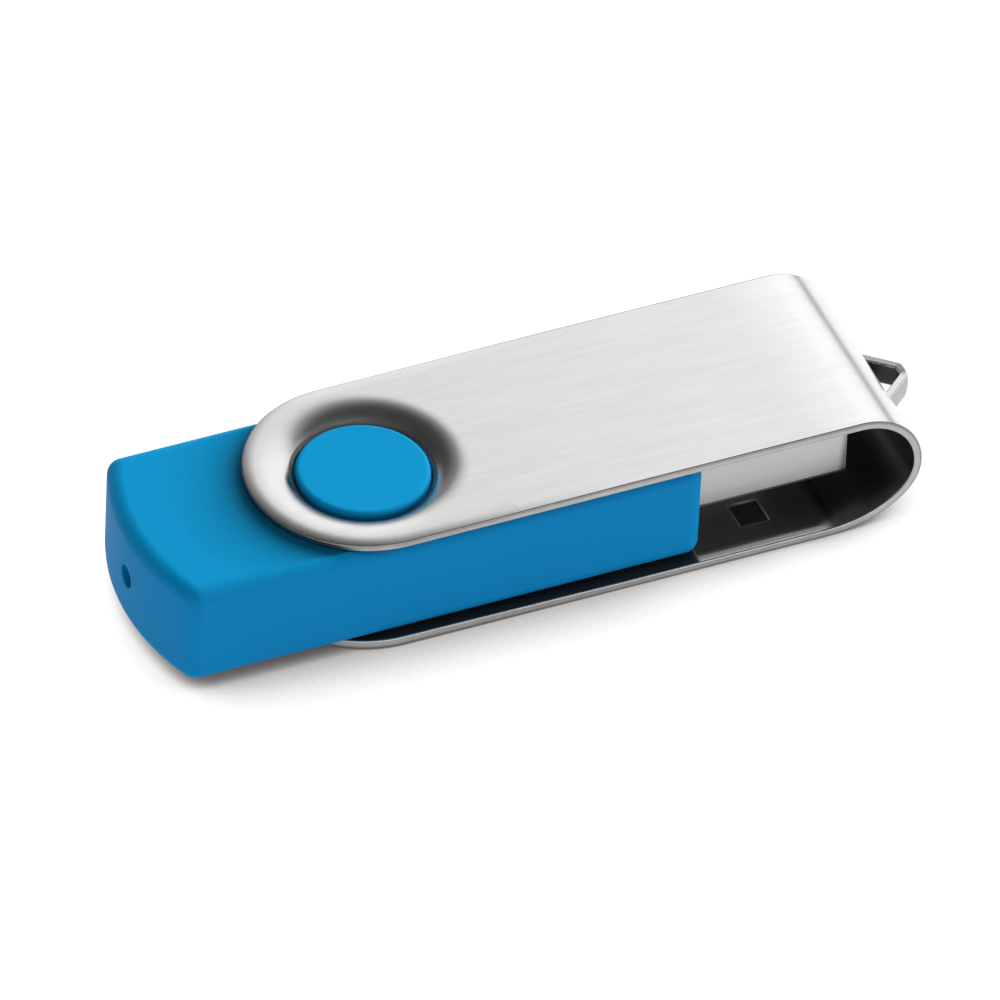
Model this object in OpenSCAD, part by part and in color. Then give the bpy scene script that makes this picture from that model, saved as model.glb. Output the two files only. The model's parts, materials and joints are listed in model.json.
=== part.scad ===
// Swivel USB flash drive. A one-piece plastic housing with a round boss on each flat side turns in a
// U-shaped cover of sheet steel. The cover swings round to bare or to shield the plug.
// Millimetres. +X points out of the plug, +Z is up, and Z = 0 is the underside of the lower arm.

/* [Cover] */
// Width of the strip that the cover is bent from
cover_w = 18; // [17.5:0.1:19]
// Thickness of the strip
strip_t = 0.65; // [0.5:0.05:0.7]
// Height over both arms
cover_h = 10.4; // [10.3:0.1:11]
// Distance from the swivel axis to the outside of the bend
bend_reach = 41.5; // [41.4:0.1:44]
// Radius at which the dish around the boss starts
dish_r = 8; // [7.6:0.1:8.2]
// Radius of the flat land at the bottom of the dish
land_r = 5.4; // [5.3:0.05:5.8]
// Depth of the dish
dish_depth = 0.95; // [0.6:0.05:1.1]
// Radius of the hole that the boss turns in
pivot_hole_r = 5.13; // [5.1:0.01:5.15]

/* [Key loop] */
// Free depth of the loop outside the bend
loop_depth = 2; // [1.5:0.1:3]
// Half of the loop's width where it leaves the bend
loop_base = 2.7; // [2.5:0.1:3.5]
// Half of the width of the loop's flat end
loop_flat = 0.5; // [0.3:0.1:1]
// Height of the loop's strap
loop_h = 2.1; // [1.6:0.1:2.6]

/* [Housing] */
// Width of the housing
body_w = 16.9; // [16.4:0.1:17]
// Height of the housing between the arms
body_h = 8.8; // [8.6:0.1:8.8]
// Radius of the housing's long edges
body_edge_r = 1.2; // [0.6:0.1:1.5]
// Distance from the swivel axis to the middle of the rear end
rear_reach = 18.8; // [18:0.1:20]
// Radius of the rear end, seen from above
rear_arc_r = 20; // [18:0.5:24]
// Distance from the swivel axis to the front face
front_reach = 24.1; // [23.5:0.1:24.5]
// Wall thickness
wall = 1.2; // [0.9:0.1:1.2]
// Radius of the two bosses
boss_r = 5.05; // [5:0.01:5.07]
// Depth of the boss's flat top below the outside of the arm
boss_sink = 0.42; // [0.2:0.02:0.6]
// Radius of the hole for the activity light
light_hole_r = 0.9; // [0.7:0.1:1.1]

/* [Plug] */
// Width of the plug's shell
plug_w = 12; // [12]
// Height of the plug's shell
plug_h = 4.5; // [4.5]
// Thickness of the shell's sheet
plug_t = 0.3; // [0.25:0.05:0.35]
// Length of the shell
plug_length = 18; // [17.5:0.1:18.8]
// Length of the shell outside the housing
plug_out = 12.6; // [12:0.1:12.8]

/* [Board] */
// Width of the circuit board
board_w = 13.8; // [13:0.1:14]
// Thickness of the circuit board
board_t = 0.8; // [0.6:0.1:0.8]
// Height of the board's upper face from the drive's middle plane
board_top = -0.1; // [-0.2:0.05:0]

/* [Hidden] */
$fn = 64;
e = 0.01;                                     // overlap that joins two solids
play = 0.15;                                  // gap between the housing and the cover
mid_z = cover_h / 2;                          // height of the drive's middle plane
bend_r = cover_h / 2;                         // outside radius of the bend
bend_x = bend_reach - bend_r;                 // axis of the bend, from the swivel axis
arm_z = cover_h / 2 - strip_t;                // inner face of an arm, from the middle plane
cover_end = bend_reach + loop_depth + strip_t;
pivot_x = (rear_reach - cover_end) / 2;       // puts the origin under the middle of the whole
boss_z = cover_h / 2 - boss_sink;
dish_steps = 12;

body_z = body_h / 2;
arc_x = rear_arc_r - rear_reach;              // centre of the rear arc
recess_z = body_z - dish_depth;               // floor of the round recess under the dish
cavity_w = body_w - 2 * wall;
cavity_z = body_z - wall;
cavity_rear = -rear_reach + 2.8;              // inner face of the rear wall
web_r = dish_r + wall + play;                 // thick disc behind each recess
web_z = recess_z - wall + 0.05;               // its inner face
collar_x = front_reach - 2.6;                 // rear face of the collar

tip_x = front_reach + plug_out;
shell_rear = tip_x - plug_length;
shell_r = 0.6;                                // corner radius of the shell
latch = [2.25, 2.5];                          // latch hole, along and across the plug
latch_x = tip_x - 5.16 - latch[0] / 2;
latch_y = 2.8;
tongue_z = -plug_h / 2 + plug_t;              // underside of the tongue
contact_t = 0.2;
contact_w = 1;
contact_lag = 1;                              // power and ground meet the socket first
tail_l = 1.8;                                 // length of a contact's tail on the board
tail_rise = 0.6;                              // where the tail rises, in front of the board's edge
tongue_block = 3;                             // length of the block that closes the shell's rear
tongue_end = tip_x - 0.7;
tongue_w = plug_w - 2 * plug_t;
tab_l = 3;                                    // length of the shell's anchor tabs

board_rear = -15;
board_low = board_top - board_t;
rail_w = (cavity_w - board_w) / 2 + 0.6;      // ledges that carry the board

// Contact rows, from the power side to the ground side
power_y = 3.5;
data_minus_y = 1;
data_plus_y = -1;
ground_y = -3.5;
contact_rows = [power_y, data_minus_y, data_plus_y, ground_y];

// Small parts on the board: [x, y] of each centre
capacitor_places = [[13, 4.5], [13, 2.4], [13, -4.5], [-13, 5], [-13, -5]];
resistor_places = [[13, 0.6], [13, -1.4], [-13.2, 2.6]];
chip_part = [1.6, 0.8];                       // footprint of each
capacitor_h = 0.8;
resistor_h = 0.45;
terminal = 0.3;                               // length of one metal end

memory = [18.4, 12, 1];
memory_x = -0.4;
controller = [7, 7, 1.2];
controller_x = -2;
regulator = [1.6, 2.9, 1];
regulator_x = 8;
crystal = [3.2, 5, 1];
crystal_x = 12.4;
led = [1.2, 1.6, 0.8];

// Everything is drawn about the swivel axis and the middle plane, then moved into the row's frame.
module place() { translate([pivot_x, 0, mid_z]) children(); }

// Share of the dish's depth: 0 at its rim, steeper and steeper towards 1 at the land
function dish_ease(r) = r >= dish_r ? 0 : r <= land_r ? 1 : pow((dish_r - r) / (dish_r - land_r), 2);
function dish_line(from_r, to_r, z) = [for (i = [0:dish_steps])
    let (r = from_r + (to_r - from_r) * i / dish_steps) [r, z - dish_depth * dish_ease(r)]];

// A rectangle in the plane of its children with rounded corners
module rounded(w, h, r) {
    square([w - 2 * r, h], center = true);
    square([w, h - 2 * r], center = true);
    for (x = [-1, 1], y = [-1, 1]) translate([x * (w / 2 - r), y * (h / 2 - r)]) circle(r);
}

// Solid bar along X between two distances, with a rounded section
module bar_x(from_x, to_x, w, h, r)
    translate([from_x, 0, 0]) rotate([90, 0, 90]) linear_extrude(to_x - from_x) rounded(w, h, r);

// Box given by its lowest corner and its highest corner
module box(low, high) { translate(low) cube(high - low); }

// ---- cover ----

// Section of the bent strip in the XZ plane, from behind the swivel axis to the bend, grown by d
module strip_section(d) {
    translate([-cover_w, -arm_z - d]) square([bend_x + cover_w, 2 * (arm_z + d)]);
    translate([bend_x, 0]) circle(arm_z + d, $fn = 128);
}

module bent_strip() {
    intersection() {
        rotate([90, 0, 0]) linear_extrude(cover_w, center = true) difference() {
            strip_section(strip_t);
            strip_section(0);
        }
        translate([0, 0, -cover_h]) linear_extrude(2 * cover_h) union() {
            circle(cover_w / 2, $fn = 128);
            translate([0, -cover_w / 2]) square([bend_reach + 1, cover_w]);
        }
    }
}

// Dished ring of one arm, from its rim to the pivot hole
module dish() {
    rotate_extrude($fn = 128) polygon(concat(
        dish_line(dish_r, land_r, arm_z + strip_t),
        [[pivot_hole_r, arm_z + strip_t - dish_depth], [pivot_hole_r, arm_z - dish_depth]],
        dish_line(land_r, dish_r, arm_z)));
}

// Window in the bend between the two slits that free the loop's strap
module loop_window() {
    half_w = loop_base - 0.25;
    half_h = loop_h / 2 + play;
    box([bend_x, -half_w, -half_h], [bend_reach + 1, half_w, half_h]);
}

// Strap in plan: two slanting legs, whose feet end inside the bend, and a flat end
module key_loop() {
    foot = bend_reach - strip_t * 0.7;
    end = bend_reach + loop_depth;
    slope = (loop_base - loop_flat) / loop_depth;
    flat_out = loop_flat + strip_t * tan((90 - atan(slope)) / 2);
    inner = [[foot, loop_flat + (end - foot) * slope], [end, loop_flat]];
    outer = [[cover_end, flat_out], [foot, flat_out + (cover_end - foot) * slope]];
    translate([0, 0, -loop_h / 2]) linear_extrude(loop_h) polygon([
        inner[0], inner[1], [end, -inner[1][1]], [foot, -inner[0][1]],
        [foot, -outer[1][1]], [cover_end, -flat_out], outer[0], outer[1]]);
}

module swivel_cover() {
    color("silver") place() {
        difference() {
            bent_strip();
            cylinder(h = 2 * cover_h, r = dish_r, center = true, $fn = 128);
            loop_window();
        }
        dish();
        mirror([0, 0, 1]) dish();
        key_loop();
    }
}

// ---- housing ----

module housing_outside() {
    intersection() {
        bar_x(-rear_reach - 1, front_reach, body_w, body_h, body_edge_r);
        // Rounds the two upright edges of the front
        translate([-front_reach, 0, -body_h]) linear_extrude(2 * body_h)
            rounded(4 * front_reach, body_w, body_edge_r);
        union() {
            translate([arc_x, 0, 0]) rotate_extrude($fn = 128) intersection() {
                rounded(2 * rear_arc_r, body_h, body_edge_r);
                translate([0, -body_h]) square([rear_arc_r + 1, 2 * body_h]);
            }
            box([0, -body_w, -body_h], [front_reach + 1, body_w, body_h]);
        }
    }
}

// Ring-shaped recess that the dish of the cover runs in
module recess() {
    rotate_extrude($fn = 128) polygon(concat(
        [[boss_r, body_z + 1], [boss_r, recess_z]],
        dish_line(land_r, dish_r, body_z), [[dish_r + play, body_z], [dish_r + play, body_z + 1]]));
}

module cavity() {
    difference() {
        box([cavity_rear, -cavity_w / 2, -cavity_z], [front_reach + 1, cavity_w / 2, cavity_z]);
        for (s = [0, 1]) mirror([0, 0, s]) translate([0, 0, web_z]) cylinder(h = body_h, r = web_r);
        for (s = [0, 1]) mirror([0, s, 0])
            box([board_rear, cavity_w / 2 - rail_w, -body_z], [shell_rear - tab_l - 1, cavity_w, board_low]);
    }
}

module housing() {
    color("dodgerblue") place() difference() {
        union() {
            housing_outside();
            for (s = [0, 1]) mirror([0, 0, s]) translate([0, 0, web_z]) cylinder(h = boss_z - web_z, r = boss_r);
        }
        cavity();
        for (s = [0, 1]) mirror([0, 0, s]) recess();
        translate([-rear_reach - 1, 0, 0]) rotate([0, 90, 0]) cylinder(h = 5, r = light_hole_r);
    }
}

module front_collar() {
    color("dodgerblue") place() difference() {
        box([collar_x, -cavity_w / 2, -cavity_z], [front_reach - 0.2, cavity_w / 2, cavity_z]);
        bar_x(collar_x - 1, front_reach + 1, plug_w, plug_h, shell_r);
    }
}

// ---- plug ----

module plug_shell() {
    color("lightgray") place() {
        difference() {
            bar_x(shell_rear, tip_x, plug_w, plug_h, shell_r);
            bar_x(shell_rear - 1, tip_x + 1, plug_w - 2 * plug_t, plug_h - 2 * plug_t, shell_r - plug_t);
            for (y = [-1, 1]) translate([latch_x, y * latch_y, 0])
                cube([latch[0], latch[1], plug_h + 1], center = true);
        }
        for (s = [0, 1]) mirror([0, s, 0])
            box([shell_rear - tab_l, plug_w / 2 - plug_t, board_low - 0.5],
                [shell_rear + e, plug_w / 2, board_top + 0.7]);
    }
}

module plug_tongue() {
    color("black") place() difference() {
        union() {
            box([shell_rear, -tongue_w / 2 + shell_r, tongue_z], [tongue_end, tongue_w / 2 - shell_r, board_top]);
            bar_x(shell_rear, shell_rear + tongue_block, tongue_w, plug_h - 2 * plug_t, shell_r - plug_t);
        }
        contact_grooves();
    }
}

// One groove for each strip, higher at the rear where its tail rises to the board
module contact_grooves() {
    for (y = contact_rows) {
        box([shell_rear - 1, y - contact_w / 2, board_top - contact_t],
            [contact_front(y), y + contact_w / 2, board_top]);
        box([shell_rear - 1, y - contact_w / 2, board_top - contact_t],
            [shell_rear + tail_rise, y + contact_w / 2, board_top + contact_t]);
    }
}

function contact_front(y) = tongue_end - 0.6 - (abs(y) > 2 ? 0 : contact_lag);

// Flat spring strip in the tongue, whose tail steps up onto its pad on the board
module contact(y) {
    color("gold") place() translate([0, y + contact_w / 2, 0]) rotate([90, 0, 0]) linear_extrude(contact_w)
        polygon([
            [contact_front(y), board_top - contact_t], [contact_front(y), board_top],
            [shell_rear + tail_rise, board_top], [shell_rear + tail_rise, board_top + contact_t],
            [shell_rear - tail_l, board_top + contact_t], [shell_rear - tail_l, board_top],
            [shell_rear, board_top], [shell_rear, board_top - contact_t]]);
}

module contact_power() { contact(power_y); }
module contact_data_minus() { contact(data_minus_y); }
module contact_data_plus() { contact(data_plus_y); }
module contact_ground() { contact(ground_y); }

// A rounded drop of solder against the end of each tail
module contact_solder() {
    drop_r = 0.5;
    color("gainsboro") place() for (y = contact_rows) translate([shell_rear - tail_l, y, board_top])
        intersection() {
            translate([-0.3, 0, 0]) sphere(drop_r);
            box([-1, -drop_r, 0], [0, drop_r, 1]);
        }
}

// A cone of solder against the inside of each anchor tab
module shell_anchor_solder() {
    cone_r = 0.35;
    color("gainsboro") place() for (s = [0, 1]) mirror([0, s, 0])
        translate([shell_rear - tab_l / 2, plug_w / 2 - plug_t - cone_r, board_top])
            cylinder(h = 0.45, r1 = cone_r, r2 = 0.2);
}

// ---- board and its parts ----

module circuit_board() {
    color("darkgreen") place() difference() {
        box([board_rear, -board_w / 2, board_low], [shell_rear, board_w / 2, board_top]);
        for (s = [0, 1]) mirror([0, s, 0])
            box([shell_rear - tab_l, plug_w / 2 - plug_t, board_low - 1],
                [shell_rear + 1, plug_w / 2, board_top + 1]);
    }
}

// Gull-wing leads along one side of a package that sits on the plane Z = 0, centred on Y
module leads(count, pitch, reach, h) {
    t = 0.12;
    for (i = [0:count - 1]) translate([0, (i - (count - 1) / 2) * pitch + 0.11, 0]) rotate([90, 0, 0])
        linear_extrude(0.22) polygon([
            [0, h], [reach / 2 + t, h], [reach / 2 + t, t], [reach, t],
            [reach, 0], [reach / 2, 0], [reach / 2, h - t], [0, h - t]]);
}

module package(size, lift) {
    translate([0, 0, lift + size[2] / 2]) cube(size, center = true);
}

// A part on the upper face stands on Z = 0, and one on the lower face hangs from it.
module on_top(x, y = 0) { place() translate([x, y, board_top]) children(); }
module on_bottom(x, y = 0) { place() translate([x, y, board_low]) mirror([0, 0, 1]) children(); }

module memory_chip() { color("dimgray") on_top(memory_x) package(memory, 0); }
module memory_chip_leads() {
    color("silver") on_top(memory_x) for (s = [0, 1]) mirror([s, 0, 0])
        translate([memory[0] / 2, 0, 0]) leads(22, 0.5, 0.8, 0.5);
}

module controller_chip() { color("dimgray") on_bottom(controller_x) package(controller, 0); }
module controller_chip_leads() {
    color("silver") on_bottom(controller_x) for (turn = [0:90:270])
        rotate([0, 0, turn]) translate([controller[0] / 2, 0, 0]) leads(12, 0.5, 1, 0.6);
}

module voltage_regulator() { color("dimgray") on_bottom(regulator_x) package(regulator, 0); }
module voltage_regulator_leads() {
    color("silver") on_bottom(regulator_x) {
        translate([regulator[0] / 2, 0, 0]) leads(2, 1.9, 0.6, 0.5);
        mirror([1, 0, 0]) translate([regulator[0] / 2, 0, 0]) leads(1, 1, 0.6, 0.5);
    }
}

module crystal_can() { color("silver") on_bottom(crystal_x) package(crystal, 0.1); }
module crystal_terminals() {
    color("gold") on_bottom(crystal_x) for (x = [-1, 1], y = [-1, 1])
        translate([x * (crystal[0] / 2 - 0.5), y * (crystal[1] / 2 - 0.6), 0.05]) cube([0.9, 1, 0.1], center = true);
}

// Body of a two-ended part between its metal ends, and those ends
module part_body(h) { package([chip_part[0] - 2 * terminal, chip_part[1], h], 0); }
module part_ends(h) {
    for (s = [-1, 1]) translate([s * (chip_part[0] - terminal) / 2, 0, 0]) package([terminal, chip_part[1], h], 0);
}

module capacitors() { color("tan") for (p = capacitor_places) on_top(p[0], p[1]) part_body(capacitor_h); }
module capacitor_terminals() {
    color("silver") for (p = capacitor_places) on_top(p[0], p[1]) part_ends(capacitor_h);
}
module resistors() { color("black") for (p = resistor_places) on_top(p[0], p[1]) part_body(resistor_h); }
module resistor_terminals() {
    color("silver") for (p = resistor_places) on_top(p[0], p[1]) part_ends(resistor_h);
}

module activity_led() { color("lightyellow") on_top(board_rear + led[0] / 2) package(led, 0); }

// Clear rod from the light to the hole in the rear wall, with a flange against the wall
module light_guide() {
    color("whitesmoke") place() rotate([0, 90, 0]) {
        translate([0, 0, -rear_reach + 1]) cylinder(h = 1.8 + e, r = light_hole_r - 0.05);
        translate([0, 0, cavity_rear]) cylinder(h = board_rear - cavity_rear, r = light_hole_r + 0.4);
    }
}

housing();
front_collar();
plug_shell();
plug_tongue();
contact_power();
contact_data_minus();
contact_data_plus();
contact_ground();
circuit_board();
memory_chip();
memory_chip_leads();
controller_chip();
controller_chip_leads();
voltage_regulator();
voltage_regulator_leads();
crystal_can();
crystal_terminals();
capacitors();
capacitor_terminals();
resistors();
resistor_terminals();
activity_led();
light_guide();
contact_solder();
shell_anchor_solder();
swivel_cover();
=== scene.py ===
"""Looks of a swivel USB flash drive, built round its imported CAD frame.

Shapes are made in millimetres about the swivel axis and the drive's middle plane, and moved into the
frame's metres at the end. +X points out of the plug, +Z is up.
"""

import functools
import json
import math

import bpy
from mathutils import Matrix, Vector


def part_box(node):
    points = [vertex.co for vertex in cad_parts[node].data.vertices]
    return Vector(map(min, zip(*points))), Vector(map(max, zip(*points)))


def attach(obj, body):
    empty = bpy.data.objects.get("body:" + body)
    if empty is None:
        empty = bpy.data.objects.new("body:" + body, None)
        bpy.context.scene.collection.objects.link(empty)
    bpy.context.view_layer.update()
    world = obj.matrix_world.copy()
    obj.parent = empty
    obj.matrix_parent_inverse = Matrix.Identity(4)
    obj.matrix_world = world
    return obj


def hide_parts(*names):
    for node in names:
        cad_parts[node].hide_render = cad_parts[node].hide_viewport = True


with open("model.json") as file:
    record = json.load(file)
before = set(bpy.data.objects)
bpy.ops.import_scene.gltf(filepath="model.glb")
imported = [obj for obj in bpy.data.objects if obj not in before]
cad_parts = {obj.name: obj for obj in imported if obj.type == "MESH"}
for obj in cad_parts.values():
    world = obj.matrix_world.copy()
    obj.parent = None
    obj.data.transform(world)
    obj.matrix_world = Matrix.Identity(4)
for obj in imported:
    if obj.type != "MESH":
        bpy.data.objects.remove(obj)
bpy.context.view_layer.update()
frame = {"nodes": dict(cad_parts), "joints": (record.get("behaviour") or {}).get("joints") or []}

MM = 0.001
PIVOT = Vector(frame["joints"][0]["pos_m"]) / MM


def size_of(node):
    """Lowest and highest corner of a CAD node in millimetres, about the swivel axis and the middle plane."""
    low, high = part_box(node)
    return low / MM - PIVOT, high / MM - PIVOT


COVER_LOW, COVER_HIGH = size_of("swivel_cover")
HOUSING_LOW, HOUSING_HIGH = size_of("housing")
SHELL_LOW, SHELL_HIGH = size_of("plug_shell")

# Cover
COVER_W = COVER_HIGH.y - COVER_LOW.y
STRIP_T = 0.65
HALF_T = STRIP_T / 2
ARM_MID = COVER_HIGH.z - HALF_T  # middle of the upper arm's thickness
LOOP_DEPTH = 2.0
BEND_REACH = COVER_HIGH.x - LOOP_DEPTH - STRIP_T
BEND_X = BEND_REACH - COVER_HIGH.z  # axis of the bend
BEND_SLACK = 2.4  # how much earlier the lower arm starts to turn up than the upper arm turns down
EASE = 5.0  # the upper arm's shading starts to turn with the bend this far before it
EASE_SLOPE = 0.08  # and has turned this much where the bend starts, though the arm itself is flat
EASE_TURN = 0.8  # angle on the bend where the shading and the shape agree again
DISH_R = 8.0
FUNNEL_SLOPE = 0.54  # slope of the dish where its sheet starts to roll down
ROLL_R = 6.2  # the sheet rolls down from here to the land
ROLL_DEPTH = 0.34
LAND_R = 5.0
CROWN = 0.14  # how fast the rim falls away round the dish
CROWN_END = 18.0  # it falls less and less along the arm, and from here to the bend it is flat
RIM_INSET = 0.2  # how far the rim's corner would lean out of the strip's width per unit of slope
HOLE_R = 5.3
COVER_EDGE = 0.13  # rounding of the strip's edges

# Key loop, pushed out of the bend between two slits
STRAP_HALF = 1.0
SLIT = 0.2
LOOP_FOOT = 2.75
LOOP_FLAT = 0.5
LOOP_ROUND = 0.6
SLIT_END = LOOP_FOOT + 0.45

# Housing
BODY_W = HOUSING_HIGH.y - HOUSING_LOW.y
BODY_H = 8.8
BODY_REAR = -HOUSING_LOW.x
BODY_FRONT = HOUSING_HIGH.x
BODY_EDGE = 1.2
FRONT_CORNER_R = 1.25
REAR_CORNER_R = 1.25
REAR_ARC_R = 20.0
BOSS_R = 5.05
BOSS_Z = HOUSING_HIGH.z
BOSS_EDGE = 0.42
BOSS_FOOT = 0.15
LIGHT_HOLE_R = 0.9
LIGHT_HOLE_EDGE = 0.12
LIGHT_HOLE_DEPTH = 1.6

# Plug
PLUG_T = 0.3
PLUG_TIP = SHELL_HIGH.x
PLUG_W = SHELL_HIGH.y - SHELL_LOW.y
PLUG_H = SHELL_HIGH.z - SHELL_LOW.z
SHELL_REAR = PLUG_TIP - 18.0
SHELL_R = 0.6
SHELL_EDGE = 0.1  # rounding of the shell's edges
SEAM = 0.03  # half the gap along the middle of its lower face
LATCH_FRONT = PLUG_TIP - 5.16
LATCH = (2.25, 2.5)
LATCH_Y = 2.8
LATCH_IN, LATCH_OUT = LATCH_Y - LATCH[1] / 2 - SHELL_EDGE, LATCH_Y + LATCH[1] / 2 + SHELL_EDGE


# ---- mesh builders ----


def spread(low, high, count):
    """count + 1 even steps from low to high."""
    return [low + (high - low) * i / count for i in range(count + 1)]


class Skin:
    """Faces with given normals. Corners that meet are welded, and each face turns to its own normals."""

    def __init__(self):
        self.points, self.index, self.faces, self.normals, self.slots = [], {}, [], [], []

    def corner(self, point):
        key = tuple(round(c, 4) for c in point)
        if key not in self.index:
            self.index[key] = len(self.points)
            self.points.append(tuple(point))
        return self.index[key]

    def face(self, corners, slot=0):
        """One face from (point, normal) pairs. Corners that fall together are dropped."""
        kept = []
        for point, normal in corners:
            i = self.corner(point)
            if i not in [k[0] for k in kept]:
                kept.append((i, Vector(normal)))
        if len(kept) < 3:
            return
        p = [Vector(self.points[i]) for i, n in kept]
        turn = sum(((p[i] - p[0]).cross(p[i + 1] - p[0]) for i in range(1, len(p) - 1)), Vector())
        if turn.dot(sum((n for i, n in kept), Vector())) < 0:
            kept.reverse()
        self.faces.append([i for i, n in kept])
        self.normals.extend(n.normalized() for i, n in kept)
        self.slots.append(slot)

    def grid(self, rows, closed=False, slot=0):
        """Quads between rows of (point, normal) pairs."""
        for a, b in zip(rows, rows[1:]):
            count = len(a) if closed else len(a) - 1
            for i in range(count):
                j = (i + 1) % len(a)
                self.face([a[i], a[j], b[j], b[i]], slot)

    def build(self, name, materials):
        mesh = bpy.data.meshes.new(name)
        mesh.from_pydata([(Vector(p) + PIVOT) * MM for p in self.points], [], self.faces)
        for material in materials:
            mesh.materials.append(material)
        mesh.polygons.foreach_set("material_index", self.slots)
        mesh.polygons.foreach_set("use_smooth", [True] * len(self.faces))
        mesh.normals_split_custom_set(self.normals)
        mesh.update()
        piece = bpy.data.objects.new(name, mesh)
        bpy.context.scene.collection.objects.link(piece)
        return piece


class Sheet:
    """The middle surface of a bent sheet, as quads. solid() gives it thickness and rounded edges."""

    def __init__(self):
        self.points, self.normals, self.index, self.faces, self.slots = [], [], {}, [], []

    def vertex(self, point, normal):
        key = tuple(round(c, 4) for c in point)
        if key not in self.index:
            self.index[key] = len(self.points)
            self.points.append(Vector(point))
            self.normals.append(Vector(normal).normalized())
        return self.index[key]

    def grid(self, rows, slots, skip=None, closed=False):
        """Quads between rows of (point, normal) pairs, but for those that skip(row, column) names. The slots
        are for the outside, the outer half of the edges, the inner half and the inside."""
        for i, (a, b) in enumerate(zip(rows, rows[1:])):
            for j in range(len(a) if closed else len(a) - 1):
                if skip and skip(i, j):
                    continue
                k = (j + 1) % len(a)
                quad = [self.vertex(*c) for c in (a[j], a[k], b[k], b[j])]
                p = [self.points[v] for v in quad]
                if (p[2] - p[0]).cross(p[3] - p[1]).dot(self.normals[quad[0]]) < 0:
                    quad.reverse()
                self.faces.append(quad)
                self.slots.append(slots)

    def rims(self):
        """Each boundary edge (a, b) with its face's slots, and each boundary corner's way out."""
        edges = {(f[i], f[(i + 1) % 4]): slots for f, slots in zip(self.faces, self.slots) for i in range(4)}
        border = {(a, b): slots for (a, b), slots in edges.items() if (b, a) not in edges}
        out = {}
        for a, b in border:
            for v in (a, b):
                way = (self.points[b] - self.points[a]).cross(self.normals[v]).normalized()
                out.setdefault(v, []).append(way)
        ways = {}
        for v, (first, second) in out.items():
            middle = (first + second).normalized()
            ways[v] = middle / max(0.5, middle.dot(first))
        return border, ways

    def solid(self, skin, half_t, edge):
        """Adds the closed sheet to skin."""
        border, ways = self.rims()
        steps = 4
        turns = [math.pi / 2 * i / steps for i in range(steps + 1)]
        levels = [(half_t - edge * (1 - math.cos(a)), edge * math.sin(a), a) for a in turns]
        levels += [(0.4 * half_t, edge, math.pi / 2)]
        levels += [(-lift, reach, math.pi - a) for lift, reach, a in reversed(levels[:-1])]

        def at(v, level):
            lift, reach, turn = levels[level]
            out = ways.get(v, Vector())
            normal = self.normals[v] * math.cos(turn) + out.normalized() * math.sin(turn)
            return self.points[v] + self.normals[v] * lift + out * reach, normal

        for face, slots in zip(self.faces, self.slots):
            skin.face([at(v, 0) for v in face], slots[0])
            skin.face([at(v, -1) for v in face], slots[3])
        for (a, b), slots in border.items():
            for level in range(len(levels) - 1):
                slot = slots[1] if level <= steps else slots[2]
                skin.grid([[at(a, level), at(b, level)], [at(a, level + 1), at(b, level + 1)]], slot=slot)


def rounded_path(points, radius, steps):
    """(point, direction) along a line in the XY plane whose inner corners are rounded."""
    made = [(points[0], (points[1] - points[0]).normalized())]
    for before, here, after in zip(points, points[1:], points[2:]):
        u, v = (here - before).normalized(), (after - here).normalized()
        turn = u.angle(v)
        reach = radius * math.tan(turn / 2)
        side = Vector((-u.y, u.x, 0)) * (1 if u.cross(v).z > 0 else -1)
        centre = here - u * reach + side * radius
        for a in spread(0, turn, steps):
            made.append((centre - side * radius * math.cos(a) + u * radius * math.sin(a),
                         u * math.cos(a) + side * math.sin(a)))
    made.append((points[-1], (points[-1] - points[-2]).normalized()))
    return made


def frame_loop(across, up, half_w, half_h, corner_r):
    """Points (a, b) and directions round a rectangle with rounded corners, 2 * (across + up) of them."""
    walk = [(-half_w + 2 * half_w * i / across, -half_h) for i in range(across)]
    walk += [(half_w, -half_h + 2 * half_h * i / up) for i in range(up)]
    walk += [(half_w - 2 * half_w * i / across, half_h) for i in range(across)]
    walk += [(-half_w, half_h - 2 * half_h * i / up) for i in range(up)]
    made = []
    for a, b in walk:
        inner_w, inner_h = half_w - corner_r, half_h - corner_r
        foot = Vector((max(-inner_w, min(inner_w, a)), max(-inner_h, min(inner_h, b)), 0))
        way = (Vector((a, b, 0)) - foot).normalized()
        made.append((foot + way * corner_r, way))
    return made


# ---- cover ----


def dish(r):
    """Depth of the dish at a distance from the swivel axis, and how steeply it falls there."""
    if r >= ROLL_R:
        t = max(0.0, DISH_R - r) / (DISH_R - ROLL_R)
        return FUNNEL_SLOPE * t ** 2.5 / 2.5 * (DISH_R - ROLL_R), FUNNEL_SLOPE * t ** 1.5
    depth, fall = dish(ROLL_R)
    span = ROLL_R - LAND_R
    u = min(1.0, (ROLL_R - r) / span)
    depth += fall * span * (u - u * u / 2) + ROLL_DEPTH * (0.5 - 0.5 * math.cos(math.pi * u))
    return depth, fall * (1 - u) + ROLL_DEPTH * 0.5 * math.pi / span * math.sin(math.pi * u)


DISH_DEPTH = dish(LAND_R)[0]


def arm_point(x, y, side):
    """Point and outward normal of an arm's middle surface. side is 1 for the upper arm."""
    r = math.hypot(x, y)
    depth, slope = dish(r)
    point = Vector((x, y, 0))
    normal = Vector((-slope * x / r, -slope * y / r, 1))
    across = Vector((min(x, 0.0), y, 0))
    beyond = across.length - DISH_R
    if beyond > 0 and x < CROWN_END:
        tilt = 2 * CROWN * beyond * min(1.0, 1 - x / CROWN_END)
        depth += tilt * beyond / 2
        normal += across.normalized() * tilt
        point -= across.normalized() * tilt * RIM_INSET
    point.z = (ARM_MID - depth) * side
    if side > 0:
        normal.x += EASE_SLOPE * max(0.0, (x - BEND_X) / EASE + 1) ** 2
    return point, Vector((normal.x, normal.y, normal.z * side))


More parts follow.
